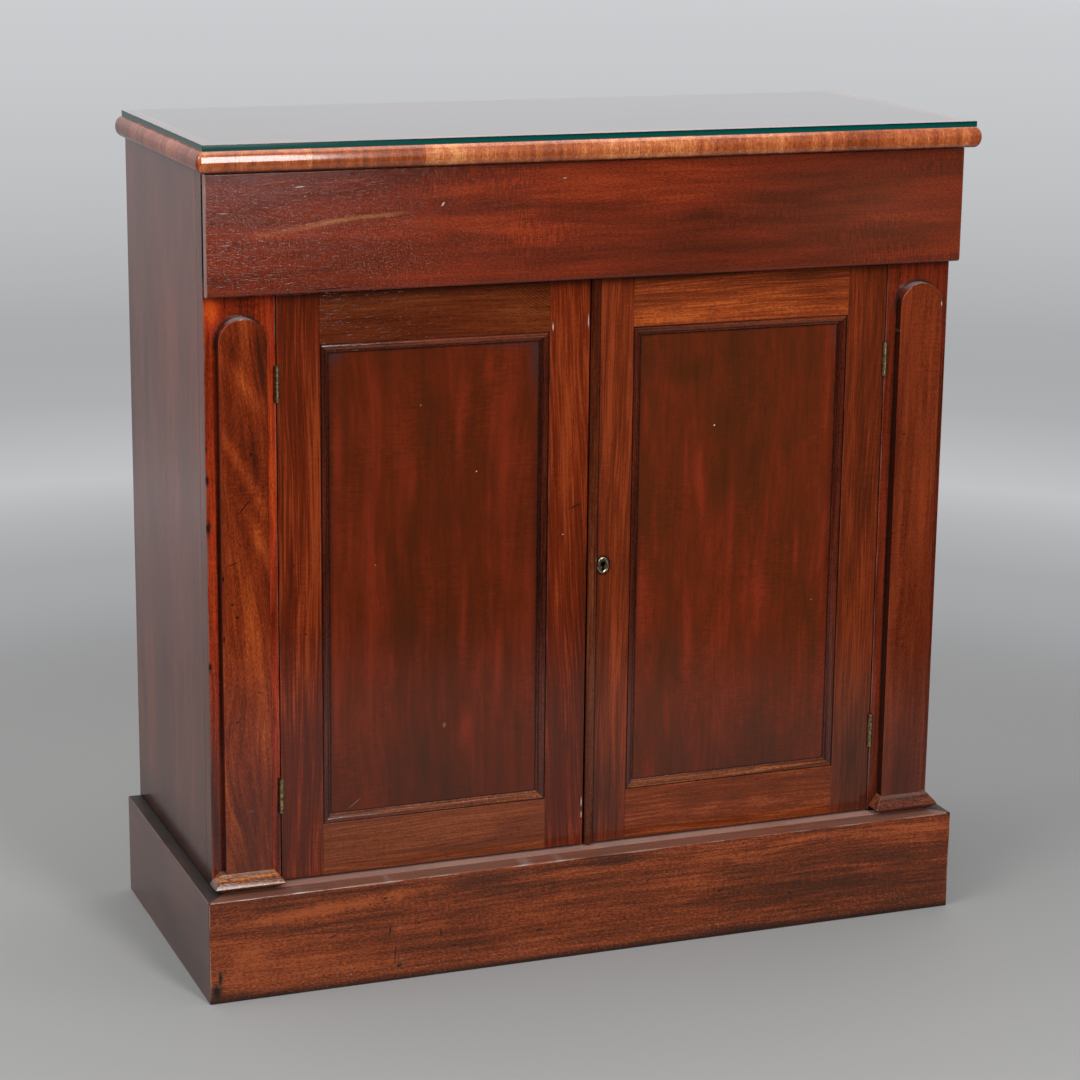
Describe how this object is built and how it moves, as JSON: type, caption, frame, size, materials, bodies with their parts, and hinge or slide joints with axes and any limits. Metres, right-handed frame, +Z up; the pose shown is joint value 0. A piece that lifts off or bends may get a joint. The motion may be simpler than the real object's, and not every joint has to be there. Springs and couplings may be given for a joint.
{
  "type": "chiffonier",
  "caption": "Mahogany cupboard on a plinth with an overlaid drawer pulled from below, a pair of panelled doors between arched pilaster strips and a glass-covered top.",
  "frame": {"origin": "on the floor, at the centre of the footprint", "axes": "+Z up, the doors and the drawer face -Y, +X to the right seen from the front"},
  "size_m": [0.873, 0.365, 0.902],
  "materials": {
    "mahogany_carcass": "dark red-brown mahogany, french polished and worn",
    "mahogany_plinth": "dark mahogany plinth boards, scuffed polish",
    "mahogany_drawer": "dark mahogany with crazed polish",
    "mahogany_pilaster": "red-brown mahogany with worn arrises",
    "mahogany_left_door": "striped mahogany, french polished",
    "mahogany_right_door": "striped golden-brown mahogany, french polished",
    "mahogany_panel": "flame-figured mahogany panel",
    "mahogany_moulding": "mahogany panel moulding with worn edges",
    "mahogany_top": "mahogany top board",
    "crossband_edging": "golden-orange cross-banded veneer, glossy",
    "pine_secondary": "unpolished aged pine",
    "brass": "aged dull brass",
    "steel": "dull steel",
    "glass": "clear float glass with a green edge"
  },
  "bodies": {
    "carcass": {"side_panel_left": "mahogany_carcass", "side_panel_right": "mahogany_carcass", "pilaster_stile_left": "mahogany_carcass", "pilaster_stile_right": "mahogany_carcass", "drawer_divider_rail": "mahogany_carcass", "plinth_front": "mahogany_plinth", "plinth_side_left": "mahogany_plinth", "plinth_side_right": "mahogany_plinth", "plinth_ledge_rail": "mahogany_plinth", "pilaster_strip_left": "mahogany_pilaster", "pilaster_strip_right": "mahogany_pilaster", "pilaster_foot_left": "mahogany_pilaster", "pilaster_foot_right": "mahogany_pilaster", "top_board": "mahogany_top", "top_edge_front": "crossband_edging", "top_edge_left": "crossband_edging", "top_edge_right": "crossband_edging", "plinth_back": "pine_secondary", "plinth_corner_blocks": "pine_secondary", "bottom_board": "pine_secondary", "top_rail_front": "pine_secondary", "top_rail_back": "pine_secondary", "drawer_runner_left": "pine_secondary", "drawer_runner_right": "pine_secondary", "drawer_kickers": "pine_secondary", "dustboard": "pine_secondary", "shelf": "pine_secondary", "shelf_bearers": "pine_secondary", "back_board_left": "pine_secondary", "back_board_middle": "pine_secondary", "back_board_right": "pine_secondary", "hinge_fixed_leaves": "brass", "hinge_pins": "brass", "glass_top": "glass"},
    "drawer": {"drawer_front": "mahogany_drawer", "drawer_side_left": "pine_secondary", "drawer_side_right": "pine_secondary", "drawer_back": "pine_secondary", "drawer_bottom": "pine_secondary"},
    "left_door": {"left_door_hinge_stile": "mahogany_left_door", "left_door_meeting_stile": "mahogany_left_door", "left_door_top_rail": "mahogany_left_door", "left_door_bottom_rail": "mahogany_left_door", "left_door_panel": "mahogany_panel", "left_door_moulding": "mahogany_moulding", "left_door_hinge_leaves": "brass", "slip_bolt_plates": "brass"},
    "right_door": {"right_door_hinge_stile": "mahogany_right_door", "right_door_meeting_stile": "mahogany_right_door", "right_door_top_rail": "mahogany_right_door", "right_door_bottom_rail": "mahogany_right_door", "right_door_panel": "mahogany_panel", "right_door_moulding": "mahogany_moulding", "right_door_bead": "mahogany_right_door", "right_door_hinge_leaves": "brass", "lock_case": "steel", "keyhole_escutcheon": "brass"},
    "upper_bolt": {"slip_bolt_upper": "steel"},
    "lower_bolt": {"slip_bolt_lower": "steel"},
    "lock_bolt": {"lock_bolt": "steel"}
  },
  "joints": [
    {"name": "drawer_slide", "type": "slide", "parent": "carcass", "child": "drawer", "axis": [0, -1, 0], "range_m": [0, 0.25]},
    {"name": "left_door_hinge", "type": "hinge", "parent": "carcass", "child": "left_door", "pos_m": [-0.347, -0.1447, 0.43], "axis": [0, 0, -1], "range_deg": [0, 95]},
    {"name": "right_door_hinge", "type": "hinge", "parent": "carcass", "child": "right_door", "pos_m": [0.347, -0.1447, 0.43], "axis": [0, 0, 1], "range_deg": [0, 95]},
    {"name": "upper_bolt_slide", "type": "slide", "parent": "left_door", "child": "upper_bolt", "axis": [0, 0, 1], "range_m": [0, 0.012]},
    {"name": "lower_bolt_slide", "type": "slide", "parent": "left_door", "child": "lower_bolt", "axis": [0, 0, -1], "range_m": [0, 0.012]},
    {"name": "lock_bolt_slide", "type": "slide", "parent": "right_door", "child": "lock_bolt", "axis": [-1, 0, 0], "range_m": [0, 0.008]}
  ]
}
